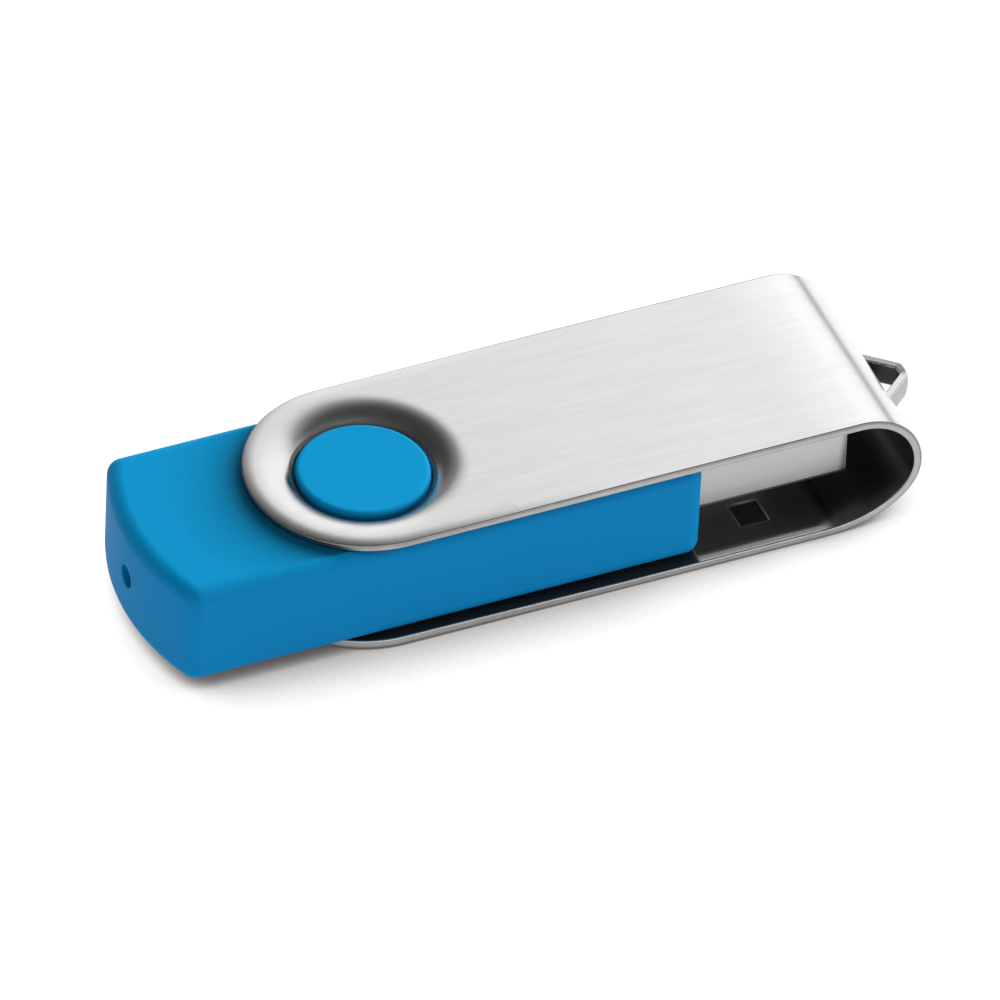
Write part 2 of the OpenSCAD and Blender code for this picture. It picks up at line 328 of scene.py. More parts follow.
def bend_point(angle, y):
    """Point and normal on the bend. Angle 0 is where it leaves the upper arm; past a quarter turn the bend is
    drawn out along the lower arm."""
    slack = BEND_SLACK if angle > math.pi / 2 else 0.0
    point = Vector((BEND_X - slack + (ARM_MID + slack) * math.sin(angle), y, ARM_MID * math.cos(angle)))
    normal = Vector((math.sin(angle) / (ARM_MID + slack), 0, math.cos(angle) / ARM_MID)).normalized()
    normal.x += EASE_SLOPE * max(0.0, 1 - angle / EASE_TURN) ** 2
    return point, normal.normalized()


# Material slots of the cover's outside, the outer and inner half of its edges, and its inside. The slots hold
# brushed, torn, sheared and polished steel.
STRIP_SLOTS = (0, 1, 2, 3)
# The hole's lip is in the dark torn steel on its outside too: painted shade round the boss.
HOLE_SLOTS = (1, 1, 1, 3)
# The strap's outside is in the darker sheared steel, a painted shade that keeps it grey; its cut edges are in
# the brushed steel.
LOOP_SLOTS = (2, 0, 0, 3)


def cover_sheet():
    sheet = Sheet()
    half_w = COVER_W / 2 - COVER_EDGE
    per_side = 16  # stations on an eighth of the outline round the swivel axis
    columns = [half_w * math.tan(math.pi / 4 * i / per_side) for i in range(per_side + 1)]
    nearest = min(range(per_side + 1), key=lambda i: abs(columns[i] - SLIT_END))
    columns[nearest] = SLIT_END
    columns = [-c for c in reversed(columns[1:])] + columns

    # Outline round the swivel axis: a half circle, two straights and the line where the strip goes on
    turns = 8 * per_side
    outline = []
    for i in range(turns):
        a = 2 * math.pi * i / turns
        if i <= per_side or i >= turns - per_side:
            outline.append((half_w, columns[per_side + (i if i <= per_side else i - turns)]))
        elif i <= 2 * per_side or i >= turns - 2 * per_side:
            outline.append((half_w / abs(math.tan(a)), math.copysign(half_w, math.sin(a))))
        else:
            outline.append((half_w * math.cos(a), half_w * math.sin(a)))
    rings = spread(HOLE_R + COVER_EDGE, ROLL_R, 8) + spread(ROLL_R, DISH_R, 8)[1:]
    shares = [0.12, 0.3, 0.6, 0.85, 1.0]
    for side in (1, -1):
        rows = []
        for r in rings:
            rows.append([arm_point(r * math.cos(2 * math.pi * i / turns),
                                   r * math.sin(2 * math.pi * i / turns), side) for i in range(turns)])
        for share in shares:
            row = []
            for i, (x, y) in enumerate(outline):
                a = 2 * math.pi * i / turns
                row.append(arm_point(DISH_R * math.cos(a) * (1 - share) + x * share,
                                     DISH_R * math.sin(a) * (1 - share) + y * share, side))
            rows.append(row)
        ring = len(rings) // 4
        sheet.grid(rows[:ring], HOLE_SLOTS, closed=True)
        sheet.grid(rows[ring - 1:], STRIP_SLOTS, closed=True)
        end = BEND_X if side > 0 else BEND_X - BEND_SLACK
        sheet.grid([[arm_point(x, y, side) for y in columns] for x in spread(half_w, end, 26)],
                   STRIP_SLOTS)

    # Bend, with the strap's two slits left open
    strap = math.asin((STRAP_HALF - COVER_EDGE) / ARM_MID)
    window = math.asin((STRAP_HALF + SLIT + COVER_EDGE) / ARM_MID)
    apex = math.pi / 2
    below = spread(0, apex - window, 20)
    middle = [apex - strap, apex - strap / 3, apex + strap / 3, apex + strap]
    angles = below + middle + [math.pi - a for a in reversed(below)]
    first = len(below) - 1
    last = len(below) + len(middle) - 1

    def in_window(i, j):
        inside = abs(columns[j] + columns[j + 1]) / 2 < SLIT_END
        return inside and first <= i <= last

    sheet.grid([[bend_point(a, y) for y in columns] for a in angles], STRIP_SLOTS, skip=in_window)

    # Strap: a bridge over the window, as wide as the cells between the slits
    far = COVER_HIGH.x - HALF_T
    base = BEND_X + ARM_MID
    corners = [(base, SLIT_END), (base, LOOP_FOOT), (far, LOOP_FLAT)]
    corners = corners + [(x, -y) for x, y in reversed(corners)]
    path = rounded_path([Vector((x, y, 0)) for x, y in corners], LOOP_ROUND, 8)
    rows = []
    for point, way in path:
        row = []
        for a in middle:
            foot, out = bend_point(a, point.y)
            foot.x += point.x - base
            across = Vector((out.z, 0, -out.x))
            normal = across.cross(way)
            row.append((foot, normal if normal.dot(out) > 0 else -normal))
        rows.append(row)
    sheet.grid(rows, LOOP_SLOTS)
    return sheet


def make_cover(brushed, torn, sheared, polished):
    skin = Skin()
    cover_sheet().solid(skin, HALF_T, COVER_EDGE)
    cover = skin.build("brushed_cover", [brushed, torn, sheared, polished])
    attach(cover, "cover")
    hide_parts("swivel_cover")


# ---- housing ----

FRONT_CELLS, CORNER_CELLS, SIDE_CELLS, REAR_CELLS = 16, 6, 40, 32
WALL_ROWS = [3.2, 2.6, 2.0, 1.5, 1.0, 0.5, 0.0, -0.5, -1.0, -1.5, -2.0, -2.6, -3.2]
HOLE_CELLS = 4  # the light's hole takes this many cells each way from the middle of the rear
HOLE_HALF_H = 2.0  # and reaches from here above the middle to as far below it
ARC_X = REAR_ARC_R - BODY_REAR


def arc_corner(inset):
    """Corner radius and centre of the rear corner, for an outline moved inwards."""
    radius = max(0.0, REAR_CORNER_R - inset)
    y = BODY_W / 2 - inset - radius
    return radius, ARC_X - math.sqrt((REAR_ARC_R - inset - radius) ** 2 - y * y), y


@functools.lru_cache(maxsize=None)
def housing_outline(inset=0.0):
    """(point, outward direction) round the housing in plan, from the middle of the front."""
    half_w = BODY_W / 2 - inset
    front_r = FRONT_CORNER_R - inset if FRONT_CORNER_R - inset > 0.06 else 0.0
    front_x, front_y = BODY_FRONT - inset - front_r, half_w - front_r
    rear_r, rear_x, rear_y = arc_corner(inset)
    open_angle = math.atan2(rear_y, ARC_X - rear_x)  # half of what the rear arc spans
    half = []
    for i in range(FRONT_CELLS // 2):
        half.append((Vector((BODY_FRONT - inset, front_y * i / (FRONT_CELLS // 2), 0)), Vector((1, 0, 0))))
    for a in spread(0, math.pi / 2, CORNER_CELLS)[:-1]:
        way = Vector((math.cos(a), math.sin(a), 0))
        half.append((Vector((front_x, front_y, 0)) + way * front_r, way))
    for share in side_shares():
        half.append((Vector((front_x + (rear_x - front_x) * share, half_w, 0)), Vector((0, 1, 0))))
    for a in spread(math.pi / 2, math.pi - open_angle, CORNER_CELLS)[1:-1]:
        way = Vector((math.cos(a), math.sin(a), 0))
        half.append((Vector((rear_x, rear_y, 0)) + way * rear_r, way))
    for i in range(REAR_CELLS // 2 + 1):
        a = math.pi - open_angle * (1 - i / (REAR_CELLS // 2))
        way = Vector((math.cos(a), math.sin(a), 0))
        half.append((Vector((ARC_X, 0, 0)) + way * (REAR_ARC_R - inset), way))
    mirrored = [(Vector((p.x, -p.y, 0)), Vector((w.x, -w.y, 0))) for p, w in reversed(half[1:-1])]
    return half + mirrored


@functools.lru_cache(maxsize=None)
def side_shares():
    """Stations along a straight side, at even angles round the swivel axis so that the boss is round."""
    front_x, rear_x = BODY_FRONT - FRONT_CORNER_R, arc_corner(0.0)[1]
    half_w = BODY_W / 2
    angles = spread(math.atan2(half_w, front_x), math.atan2(half_w, rear_x), SIDE_CELLS)
    return [(half_w / math.tan(a) - front_x) / (rear_x - front_x) for a in angles]


def edge_drop(turn):
    """How far the rounded long edge lies below the flat, where its surface has turned this far."""
    return BODY_EDGE * (1 - math.cos(turn))


def recess_rims():
    """Where each station's way in from the outline meets the recess: (point, turn of the rounded edge)."""
    inner = housing_outline(BODY_EDGE)
    rims = [None] * len(inner)
    for inset in spread(0, BODY_EDGE, 60):
        turn = math.asin(max(0.0, 1 - inset / BODY_EDGE))
        for i, (p, w) in enumerate(housing_outline(inset)):
            if rims[i] is None and p.length < DISH_R and dish(p.length)[0] >= edge_drop(turn):
                rims[i] = (p, turn)
    return [rim or (p.normalized() * DISH_R, 0.0) for rim, (p, w) in zip(rims, inner)]


def face_profile(reach):
    """Section of one flat side of the housing from the middle of the boss out to the rim of its recess:
    (r, z, normal r, normal z)."""
    top, floor = BODY_H / 2, BODY_H / 2 - DISH_DEPTH
    made = [(0.0, BOSS_Z, 0, 1), (2.5, BOSS_Z, 0, 1), (BOSS_R - BOSS_EDGE, BOSS_Z, 0, 1)]
    for a in spread(0, math.pi / 2, 6)[1:]:
        made.append((BOSS_R - BOSS_EDGE + BOSS_EDGE * math.sin(a),
                     BOSS_Z - BOSS_EDGE + BOSS_EDGE * math.cos(a), math.sin(a), math.cos(a)))
    for a in spread(math.pi / 2, 0, 4):
        made.append((BOSS_R + BOSS_FOOT - BOSS_FOOT * math.sin(a),
                     floor + BOSS_FOOT - BOSS_FOOT * math.cos(a), math.sin(a), math.cos(a)))
    for r in spread(LAND_R, ROLL_R, 8) + spread(ROLL_R, reach, 6)[1:]:
        depth, slope = dish(r)
        n = Vector((-slope, 1)).normalized()
        made.append((r, top - depth, n.x, n.y))
    return made


def housing_side(skin, side):
    """One flat side: boss, recess, the flat round it, and the rounded long edges."""
    rims = recess_rims()
    columns = []
    for rim, turn in rims:
        a = math.atan2(rim.y, rim.x)
        columns.append([(Vector((r * math.cos(a), r * math.sin(a), z * side)),
                         Vector((nr * math.cos(a), nr * math.sin(a), nz * side)))
                        for r, z, nr, nz in face_profile(rim.length)])
    skin.grid(list(zip(*columns)), closed=True)
    up = Vector((0, 0, side))
    top = up * BODY_H / 2
    inner = housing_outline(BODY_EDGE)
    rows = []
    for share in (0.0, 0.03, 0.15, 0.35, 0.6, 0.85, 1.0):
        row = []
        for (rim, turn), (p, w) in zip(rims, inner):
            place = rim - up * edge_drop(turn) if turn else rim * (1 - share) + p * share
            row.append((place + top, up))
        rows.append(row)
    skin.grid(rows, closed=True)
    skin.grid([edge_row(rims, share, side) for share in spread(0, 1, 7)], closed=True)


def edge_row(rims, share, side):
    """One row along the rounded long edge. share is 0 at the flat side and 1 at the wall."""
    up = Vector((0, 0, side))
    row = []
    for i, (rim, first) in enumerate(rims):
        turn = first + (math.pi / 2 - first) * share
        p, w = housing_outline(BODY_EDGE * (1 - math.sin(turn)))[i]
        if share == 0 and first:
            p = rim
        row.append((p + up * (BODY_H / 2 - edge_drop(turn)), w * math.sin(turn) + up * math.cos(turn)))
    return row


def housing_wall(skin, outline):
    """Upright wall, but for the front opening and the light's hole at the rear."""
    count = len(outline)
    rear = count // 2
    for top, low in zip(WALL_ROWS, WALL_ROWS[1:]):
        for i in range(count):
            j = (i + 1) % count
            at_front = i < FRONT_CELLS // 2 or i >= count - FRONT_CELLS // 2
            at_hole = rear - HOLE_CELLS <= i < rear + HOLE_CELLS and max(abs(top), abs(low)) <= HOLE_HALF_H
            if at_front or at_hole:
                continue
            (p, w), (q, v) = outline[i], outline[j]
            skin.face([(p + Vector((0, 0, top)), w), (q + Vector((0, 0, top)), v),
                       (q + Vector((0, 0, low)), v), (p + Vector((0, 0, low)), w)])


def rear_point(u, z, inset=0.0):
    """Point and direction on the rear wall, u along its arc from the middle."""
    a = u / REAR_ARC_R
    way = Vector((-math.cos(a), math.sin(a), 0))
    return Vector((ARC_X, 0, z)) + way * (REAR_ARC_R - inset), way


def light_hole(skin, outline):
    """Hole in the middle of the rear wall, with a rounded mouth, a straight wall and a flat bottom."""
    beside = outline[len(outline) // 2 + 1][0]
    half_w = HOLE_CELLS * abs(math.atan2(beside.y, ARC_X - beside.x)) * REAR_ARC_R
    cells = 2 * HOLE_CELLS
    square = [(p.x, p.y) for p, w in frame_loop(cells, cells, half_w, HOLE_HALF_H, 0.0001)]
    ring = [math.atan2(z / HOLE_HALF_H, u / half_w) for u, z in square]
    mouth_r = LIGHT_HOLE_R + LIGHT_HOLE_EDGE
    rows = []
    for share in (0.0, 0.55, 1.0):
        rows.append([rear_point(u * (1 - share) + mouth_r * math.cos(t) * share,
                                z * (1 - share) + mouth_r * math.sin(t) * share)
                     for (u, z), t in zip(square, ring)])
    inwards = [Vector((0, -math.cos(t), -math.sin(t))) for t in ring]
    for a in spread(0, math.pi / 2, 3)[1:]:
        row = []
        for t, inward in zip(ring, inwards):
            r = LIGHT_HOLE_R + LIGHT_HOLE_EDGE * (1 - math.sin(a))
            point, way = rear_point(r * math.cos(t), r * math.sin(t), LIGHT_HOLE_EDGE * (1 - math.cos(a)))
            row.append((point, way * math.cos(a) + inward * math.sin(a)))
        rows.append(row)
    skin.grid(rows, closed=True)
    rim = [p for p, n in rows[-1]]
    bottom = [Vector((LIGHT_HOLE_DEPTH - BODY_REAR, p.y, p.z)) for p in rim]
    skin.grid([list(zip(rim, inwards)), list(zip(bottom, inwards))], closed=True)
    back = Vector((-1, 0, 0))
    middle = Vector((bottom[0].x, 0, 0))
    skin.grid([[(p.lerp(middle, share), back) for p in bottom] for share in (0.0, 0.5, 1.0)], closed=True)


def front_loop(half_w, half_h, corner_r):
    return frame_loop(FRONT_CELLS, len(WALL_ROWS) - 1, half_w, half_h, corner_r)


def tube_rows(sections):
    """Rows of a rounded rectangular tube from (x, half width, half height, corner, normal out, normal x)."""
    rows = []
    for x, half_w, half_h, corner_r, out, along in sections:
        rows.append([(Vector((x, p.x, p.y)), Vector((along, w.x * out, w.y * out)))
                     for p, w in front_loop(half_w, half_h, corner_r)])
    return rows


CAVITY = (7.1, 3.1, 0.4)  # half width, half height and corner of the front opening
LIP = 0.08  # rounding of its rim
STEP_X = 21.0  # the hollow is lower behind this
LOW_H = 2.3  # half its height there
CAVITY_END = -15.9


def front_opening(skin):
    """Flat front round the opening, and the hollow behind it that holds the board."""
    half_w, half_h, corner_r = CAVITY
    flat_w = BODY_W / 2 - FRONT_CORNER_R
    edge = [(-flat_w + 2 * flat_w * i / FRONT_CELLS, WALL_ROWS[-1]) for i in range(FRONT_CELLS)]
    edge += [(flat_w, z) for z in reversed(WALL_ROWS[1:])]
    edge += [(flat_w - 2 * flat_w * i / FRONT_CELLS, WALL_ROWS[0]) for i in range(FRONT_CELLS)]
    edge += [(-flat_w, z) for z in WALL_ROWS[:-1]]
    deep_w, deep_h = half_w - LIP, half_h - LIP
    rows = [[(Vector((BODY_FRONT, y, z)), Vector((1, 0, 0))) for y, z in edge]]
    rows += tube_rows([(BODY_FRONT, half_w, half_h, corner_r, 0, 1),
                       (BODY_FRONT - LIP * 0.3, half_w - LIP * 0.7, half_h - LIP * 0.7, corner_r, -1, 1),
                       (BODY_FRONT - LIP, deep_w, deep_h, corner_r, -1, 0)])
    skin.grid(rows, closed=True)
    for front_x, rear_x, tall in ((BODY_FRONT - LIP, STEP_X, deep_h), (STEP_X, CAVITY_END, LOW_H)):
        skin.grid(tube_rows([(x, deep_w, tall, corner_r, -1, 0) for x in (front_x, rear_x)]), closed=True)
    skin.grid(tube_rows([(STEP_X, deep_w, deep_h, corner_r, 0, 1), (STEP_X, deep_w, LOW_H, corner_r, 0, 1)]),
              closed=True)
    skin.grid(tube_rows([(CAVITY_END, deep_w, LOW_H, corner_r, 0, 1),
                         (CAVITY_END, deep_w / 2, LOW_H / 2, corner_r, 0, 1),
                         (CAVITY_END, 0.002, 0.001, 0.0005, 0, 1)]), closed=True)


def make_housing(plastic):
    skin = Skin()
    outline = housing_outline()
    for side in (1, -1):
        housing_side(skin, side)
    housing_wall(skin, outline)
    light_hole(skin, outline)
    front_opening(skin)
    housing = skin.build("soft_touch_housing", [plastic])
    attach(housing, "drive")
    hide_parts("housing")


def make_collar(plastic):
    """Plate that closes the front round the plug: a closed ring with rounded edges."""
    skin = Skin()
    gap = 0.05
    out_w, out_h, out_r = CAVITY[0] - LIP - gap, CAVITY[1] - LIP - gap, CAVITY[2]
    in_w, in_h, in_r = PLUG_W / 2 + 0.02, PLUG_H / 2 + 0.02, SHELL_R
    front, rear, soft = BODY_FRONT - 0.04, BODY_FRONT - 2.6, 0.12
    sections = [(rear, out_w, out_h, out_r, 1, 0)]
    for a in spread(0, math.pi / 2, 4):
        grow = soft * (1 - math.cos(a))
        sections.append((front - soft + soft * math.sin(a), out_w - grow, out_h - grow, out_r,
                         math.cos(a), math.sin(a)))
    for a in spread(math.pi / 2, 0, 4):
        grow = soft * (1 - math.cos(a))
        sections.append((front - soft + soft * math.sin(a), in_w + grow, in_h + grow, in_r + grow,
                         -math.cos(a), math.sin(a)))
    sections.append((rear, in_w, in_h, in_r, -1, 0))
    skin.grid(tube_rows(sections), closed=True)
    skin.grid(tube_rows([(rear, out_w, out_h, out_r, 0, -1), (rear, in_w, in_h, in_r, 0, -1)]), closed=True)
    collar = skin.build("plug_collar", [plastic])
    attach(collar, "drive")
    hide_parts("front_collar")


# ---- plug ----


def shell_section():
    """(y, z, direction) round the shell's middle surface, from one side of its seam to the other."""
    half_w, half_h = PLUG_W / 2 - PLUG_T / 2, PLUG_H / 2 - PLUG_T / 2
    r = SHELL_R - PLUG_T / 2
    flat = [SEAM + SHELL_EDGE, 0.9, LATCH_IN, (LATCH_IN + LATCH_OUT) / 2, LATCH_OUT, 4.9, half_w - r]
    half = [(y, -half_h, 0, -1) for y in flat]
    half += [(half_w - r + r * math.sin(a), -half_h + r - r * math.cos(a), math.sin(a), -math.cos(a))
             for a in spread(0, math.pi / 2, 6)[1:]]
    half += [(half_w, z, 1, 0) for z in spread(-half_h + r, half_h - r, 4)[1:]]
    half += [(half_w - r + r * math.cos(a), half_h - r + r * math.sin(a), math.cos(a), math.sin(a))
             for a in spread(0, math.pi / 2, 6)[1:]]
    half += [(y, half_h, 0, 1) for y in reversed(flat[1:-1])] + [(0, half_h, 0, 1)]
    return half + [(-y, z, -ny, nz) for y, z, ny, nz in reversed(half[:-1])]


def make_plug_shell(steel, rim):
    taper, nose = 0.1, 0.7  # how far the sheet leans in over the last stretch before the tip
    section = shell_section()
    hole_rear, hole_front = LATCH_FRONT - LATCH[0] - SHELL_EDGE, LATCH_FRONT + SHELL_EDGE
    xs = [SHELL_REAR + SHELL_EDGE, 21.0, BODY_FRONT, 27.0] + spread(hole_rear, hole_front, 2)
    xs += [33.5, PLUG_TIP - 1.6] + spread(PLUG_TIP - nose, PLUG_TIP - SHELL_EDGE, 4)
    rows = []
    for x in xs:
        t = max(0.0, (x - PLUG_TIP + nose) / nose)
        rows.append([(Vector((x, y - taper * t * t * ny, z - taper * t * t * nz)),
                      Vector((2 * taper * t / nose, ny, nz))) for y, z, ny, nz in section])

    def in_latch(i, j):
        y = abs(section[j][0] + section[j + 1][0]) / 2
        on_face = abs(section[j][3] + section[j + 1][3]) > 1.99
        return on_face and LATCH_IN < y < LATCH_OUT and hole_rear < (xs[i] + xs[i + 1]) / 2 < hole_front

    sheet = Sheet()
    # The shell's edges take the second material, a painted highlight.
    sheet.grid(rows, (0, 1, 1, 0), skip=in_latch)
    skin = Skin()
    sheet.solid(skin, PLUG_T / 2, SHELL_EDGE)
    shell = skin.build("plug_steel_shell", [steel, rim])
    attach(shell, "drive")
    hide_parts("plug_shell")


# ---- materials ----


def new_material(name):
    material = bpy.data.materials.new(name)
    material.use_nodes = True
    nodes = material.node_tree.nodes
    return material, nodes, material.node_tree.links, nodes["Principled BSDF"]


def stretched_noise(nodes, links, scale, size, detail=6.0, roughness=0.6):
    """Noise in object space, stretched by scale (x, y, z)."""
    coordinates = nodes.new("ShaderNodeTexCoord")
    mapping = nodes.new("ShaderNodeMapping")
    mapping.inputs["Scale"].default_value = scale
    noise = nodes.new("ShaderNodeTexNoise")
    noise.inputs["Scale"].default_value = size
    noise.inputs["Detail"].default_value = detail
    noise.inputs["Roughness"].default_value = roughness
    links.new(coordinates.outputs["Object"], mapping.inputs["Vector"])
    links.new(mapping.outputs["Vector"], noise.inputs["Vector"])
    return noise.outputs["Fac"]


def mapped(nodes, links, value, low, high, from_low=0.3, from_high=0.7):
    """A noise value brought into the range from low to high."""
    node = nodes.new("ShaderNodeMapRange")
    node.inputs["From Min"].default_value = from_low
    node.inputs["From Max"].default_value = from_high
    node.inputs["To Min"].default_value = low
    node.inputs["To Max"].default_value = high
    links.new(value, node.inputs["Value"])
    return node.outputs["Result"]


def ramped(nodes, links, value, stops):
    """A colour from a ramp through (place, colour) stops."""
    ramp = nodes.new("ShaderNodeValToRGB")
    elements = ramp.color_ramp.elements
    elements[0].position, elements[1].position = stops[0][0], stops[-1][0]
    for place, colour in stops[1:-1]:
        elements.new(place)
    for element, (place, colour) in zip(elements, stops):
        element.color = (*colour, 1)
    links.new(value, ramp.inputs["Fac"])
    return ramp.outputs["Color"]


def tinted(nodes, links, value, dark, light):
    """A colour between dark and light."""
    return ramped(nodes, links, value, ((0.3, dark), (0.7, light)))


def worked_out(nodes, links, operation, *values):
    """What a Math node makes of its values, each a number or another node's output."""
    node = nodes.new("ShaderNodeMath")
    node.operation = operation
    for socket, value in zip(node.inputs, values):
        if isinstance(value, float):
            socket.default_value = value
        else:
            links.new(value, socket)
    return node.outputs[0]


def scaled(nodes, links, colour, share):
    """A colour times a number."""
    node = nodes.new("ShaderNodeVectorMath")
    node.operation = "SCALE"
    links.new(colour, node.inputs[0])
    links.new(share, node.inputs["Scale"])
    return node.outputs[0]


def parts(nodes, links, vector):
    """The X, Y and Z of a vector."""
    node = nodes.new("ShaderNodeSeparateXYZ")
    links.new(vector, node.inputs[0])
    return node.outputs


def occlusion(nodes, links, way, reach, samples, own=False):
    """How much of the space round a place is open, looking one way. own counts only the piece itself."""
    lean = nodes.new("ShaderNodeCombineXYZ")
    for socket, part in zip(lean.inputs, way):
        socket.default_value = part
    near = nodes.new("ShaderNodeAmbientOcclusion")
    near.inputs["Distance"].default_value = reach
    near.samples = samples
    near.only_local = own
    links.new(lean.outputs[0], near.inputs["Normal"])
    return near.outputs["AO"]


def bumped(nodes, links, shader, height, strength, distance):
    bump = nodes.new("ShaderNodeBump")
    bump.inputs["Strength"].default_value = strength
    bump.inputs["Distance"].default_value = distance
    links.new(height, bump.inputs["Height"])
    links.new(bump.outputs["Normal"], shader.inputs["Normal"])


def painted_swivel_shade(nodes, links, colour, swivel_shade):
    """Painted shade: a colour made darker towards the swivel."""
    place = parts(nodes, links, nodes.new("ShaderNodeTexCoord").outputs["Object"])
    return scaled(nodes, links, colour, mapped(nodes, links, place["X"], 1 - swivel_shade, 1.0, -8 * MM, 24 * MM))


def brushed_steel(name, colour, rough, spread_rough, streak, grain=(8, 900, 8), along=0.0, swivel_shade=0.0):
    """Steel with fine scratches along X. along is how much wider its gloss spreads across them, and the last
    argument how much darker its colour is painted at the swivel than at the bend, a painted shade."""
    material, nodes, links, shader = new_material(name)
    shader.inputs["Metallic"].default_value = 1.0
    shader.inputs["Anisotropic"].default_value = along
    shader.inputs["Anisotropic Rotation"].default_value = 0.25
    tangent = nodes.new("ShaderNodeTangent")
    tangent.direction_type = "RADIAL"
    tangent.axis = "Y"
    links.new(tangent.outputs[0], shader.inputs["Tangent"])
    fine = stretched_noise(nodes, links, grain, 12.0)
    broad = stretched_noise(nodes, links, (grain[0] * 2, grain[1] / 6, grain[2] * 2), 8.0, 3.0)
    dark = tuple(c * (1 - streak) for c in colour)
    light = tinted(nodes, links, broad, dark, colour)
    if swivel_shade:
        light = painted_swivel_shade(nodes, links, light, swivel_shade)
    links.new(light, shader.inputs["Base Color"])
    gloss = mapped(nodes, links, fine, rough - spread_rough, rough + spread_rough)
    links.new(gloss, shader.inputs["Roughness"])
    bumped(nodes, links, shader, fine, 0.15, 0.00001)
    return material


def polished_steel(name, mirror_shade, painted_shade_colour):
    """Mirror finish on the lower arm's inside in front of the housing. In the bend and on the upper arm it is
    rough and painted dark, and next to the housing it is painted dark without a metal's shine: painted shade."""
    material, nodes, links, shader = new_material(name)
    place = parts(nodes, links, nodes.new("ShaderNodeTexCoord").outputs["Object"])
    start, front, middle = BEND_X + PIVOT.x, BODY_FRONT + PIVOT.x, PIVOT.z
    bend = mapped(nodes, links, place["X"], 0.0, 1.0, (start - 3) * MM, (start - 1) * MM)
    above = mapped(nodes, links, place["Z"], 0.0, 1.0, (middle - 1) * MM, middle * MM)
    behind = mapped(nodes, links, place["X"], 1.0, 0.0, (front - 0.6) * MM, (front - 0.2) * MM)
    # Rough and painted dark: painted shade in the bend, on the upper arm and next to the housing.
    dull_and_shaded = worked_out(nodes, links, "MAXIMUM", worked_out(nodes, links, "MAXIMUM", bend, above), behind)
    shade = tinted(nodes, links, dull_and_shaded, mirror_shade, painted_shade_colour)
    # Painted shade next to the housing: the colour falls to 0.12 of itself there.
    dark = mapped(nodes, links, behind, 1.0, 0.12, 0.0, 1.0)
    links.new(scaled(nodes, links, shade, dark), shader.inputs["Base Color"])
    links.new(mapped(nodes, links, behind, 0.95, 0.0, 0.0, 1.0), shader.inputs["Metallic"])
    fine = mapped(nodes, links, stretched_noise(nodes, links, (8, 300, 8), 12.0), 0.03, 0.06)
    links.new(worked_out(nodes, links, "MULTIPLY_ADD", dull_and_shaded, 0.26, fine), shader.inputs["Roughness"])
    return material


def shaded(nodes, links, colour):
    """Painted shadow: a colour made darker on the housing's flat faces where the cover stands close over them
    on the right. What the housing hides by itself is left out."""
    way, reach, samples = (0.75, 0.3, 0.6), 6 * MM, 10
    hidden = worked_out(nodes, links, "SUBTRACT", occlusion(nodes, links, way, reach, samples, own=True),
                        occlusion(nodes, links, way, reach, samples))
    geometry = nodes.new("ShaderNodeNewGeometry")
    facing = parts(nodes, links, geometry.outputs["Normal"])
    flat = mapped(nodes, links, facing["Z"], 0.0, 1.0, 0.9, 0.99)
    place = parts(nodes, links, geometry.outputs["Position"])
    top = PIVOT.z + BODY_H / 2
    below_boss = mapped(nodes, links, place["Z"], 1.0, 0.0, (top + 0.05) * MM, (top + 0.2) * MM)
    on_top = worked_out(nodes, links, "MULTIPLY", hidden, flat)
    shade = worked_out(nodes, links, "MULTIPLY", on_top, below_boss)
    return scaled(nodes, links, colour, mapped(nodes, links, shade, 1.0, 0.38, 0.01, 0.2))


def soft_touch(name, colour):
    """Matt rubbery plastic with a very fine grain, and the cover's shadow painted on its flat faces."""
    material, nodes, links, shader = new_material(name)
    cloud = stretched_noise(nodes, links, (1, 1, 1), 120.0, 3.0)
    grain = stretched_noise(nodes, links, (1, 1, 1), 9000.0, 2.0)
    dark = tuple(c * 0.97 for c in colour)
    links.new(shaded(nodes, links, tinted(nodes, links, cloud, dark, colour)), shader.inputs["Base Color"])
    links.new(mapped(nodes, links, grain, 0.5, 0.62), shader.inputs["Roughness"])
    shader.inputs["IOR"].default_value = 1.12
    bumped(nodes, links, shader, grain, 0.12, 0.00001)
    return material


def plain(name, colour, rough, metallic=0.0, grain=3000.0, shade=0.12, transmission=0.0):
    """A small part's finish: slight cloudiness, grain and uneven gloss."""
    material, nodes, links, shader = new_material(name)
    cloud = stretched_noise(nodes, links, (1, 1, 1), grain / 6, 3.0)
    fine = stretched_noise(nodes, links, (1, 1, 1), grain, 2.0)
    dark = tuple(c * (1 - shade) for c in colour)
    links.new(tinted(nodes, links, cloud, dark, colour), shader.inputs["Base Color"])
    links.new(mapped(nodes, links, fine, rough * 0.85, rough * 1.15), shader.inputs["Roughness"])
    shader.inputs["Metallic"].default_value = metallic
    shader.inputs["Transmission Weight"].default_value = transmission
    bumped(nodes, links, shader, fine, 0.15, 0.00001)
    return material


# ---- the CAD nodes that stay ----


